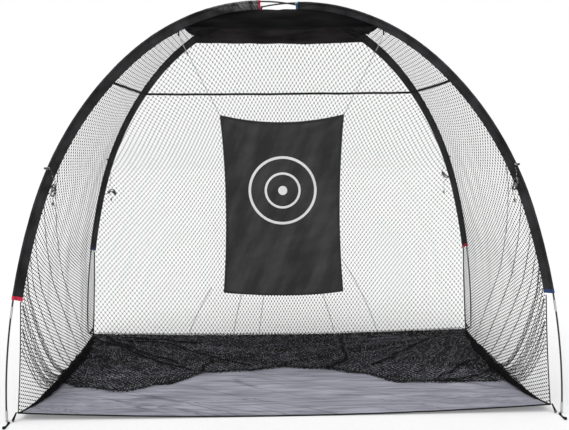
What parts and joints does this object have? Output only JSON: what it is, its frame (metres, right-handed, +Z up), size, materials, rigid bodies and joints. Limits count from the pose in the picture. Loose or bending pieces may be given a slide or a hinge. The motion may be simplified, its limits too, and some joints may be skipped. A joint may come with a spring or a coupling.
{
  "type": "golf chipping net",
  "caption": "Free-standing domed practice net: crossed bowed poles in fabric sleeves carry three net walls, a canopy, a floor sheet and a hanging target sheet.",
  "frame": {"origin": "centre of the floor sheet at ground level, under the crossing of the poles", "axes": "+X to the right as seen from the open mouth, +Y from the mouth to the rear wall, +Z up"},
  "size_m": [3.0636, 2.0176, 2.3964],
  "materials": {
    "pole_tube": "smooth black fibreglass tube",
    "ferrule_metal": "plain bright metal tube",
    "ring_metal": "plated wire",
    "elastic": "braided pale elastic",
    "sleeve_cloth": "coated woven cloth",
    "canopy_cloth": "coated woven cloth",
    "red_binding": "woven tape",
    "blue_binding": "woven tape",
    "webbing": "woven tape",
    "netting": "knotted twine",
    "edge_cord": "braided cord",
    "guy_line": "black and white flecked braid",
    "ground_cloth": "coated woven cloth",
    "target_cloth": "coated woven cloth",
    "black_plastic": "moulded"
  },
  "bodies": {
    "shelter": {"leg_section_front_left": "pole_tube", "leg_section_rear_right": "pole_tube", "leg_section_rear_left": "pole_tube", "leg_section_front_right": "pole_tube", "red_arch_sections": "pole_tube", "blue_arch_sections": "pole_tube", "red_pole_ferrules": "ferrule_metal", "blue_pole_ferrules": "ferrule_metal", "pole_tips": "ferrule_metal", "red_shock_cord": "elastic", "blue_shock_cord": "elastic", "red_sleeve_trims": "red_binding", "blue_sleeve_trims": "blue_binding", "guy_tabs": "webbing", "pin_rings": "ring_metal", "corner_straps": "webbing", "net_left": "netting", "net_rear": "netting", "net_right": "netting", "floor_net": "netting", "belt_tape": "webbing", "canopy": "canopy_cloth", "front_edge_cords": "edge_cord", "rear_corner_tapes": "webbing", "hem_tape": "webbing", "floor_sheet": "ground_cloth", "hanger_tabs": "webbing", "sleeve_front_left": "sleeve_cloth", "guy_cord_front_left": "guy_line", "guy_hank_front_left": "guy_line", "guy_slider_front_left": "black_plastic", "sleeve_front_right": "sleeve_cloth", "guy_cord_front_right": "guy_line", "guy_hank_front_right": "guy_line", "guy_slider_front_right": "black_plastic", "sleeve_rear_left": "sleeve_cloth", "guy_cord_rear_left": "guy_line", "guy_hank_rear_left": "guy_line", "guy_slider_rear_left": "black_plastic", "sleeve_rear_right": "sleeve_cloth", "guy_cord_rear_right": "guy_line", "guy_hank_rear_right": "guy_line", "guy_slider_rear_right": "black_plastic"},
    "target": {"hanger_rings": "black_plastic", "target_toggles": "black_plastic", "target_elastic_left": "elastic", "target_elastic_right": "elastic", "target_cord_left": "edge_cord", "target_cord_right": "edge_cord", "target_sheet": "target_cloth", "target_binding": "webbing"},
    "stake_loop_front_left": {"stake_loop_front_left": "webbing"},
    "stake_loop_front_right": {"stake_loop_front_right": "webbing"},
    "stake_loop_rear_left": {"stake_loop_rear_left": "webbing"},
    "stake_loop_rear_right": {"stake_loop_rear_right": "webbing"}
  },
  "joints": [
    {"name": "target_swing", "type": "hinge", "parent": "shelter", "child": "target", "pos_m": [0, -0.363, 2.141], "axis": [1, 0, 0], "range_deg": [-35, 30]},
    {"name": "stake_loop_front_left_lift", "type": "hinge", "parent": "shelter", "child": "stake_loop_front_left", "pos_m": [-1.51128, -0.92277, 0.00547], "axis": [-1, 0, 0], "range_deg": [0, 80]},
    {"name": "stake_loop_front_right_lift", "type": "hinge", "parent": "shelter", "child": "stake_loop_front_right", "pos_m": [1.51128, -0.92277, 0.00547], "axis": [-1, 0, 0], "range_deg": [0, 80]},
    {"name": "stake_loop_rear_left_lift", "type": "hinge", "parent": "shelter", "child": "stake_loop_rear_left", "pos_m": [-1.51128, 0.92277, 0.00547], "axis": [1, 0, 0], "range_deg": [0, 80]},
    {"name": "stake_loop_rear_right_lift", "type": "hinge", "parent": "shelter", "child": "stake_loop_rear_right", "pos_m": [1.51128, 0.92277, 0.00547], "axis": [1, 0, 0], "range_deg": [0, 80]}
  ]
}
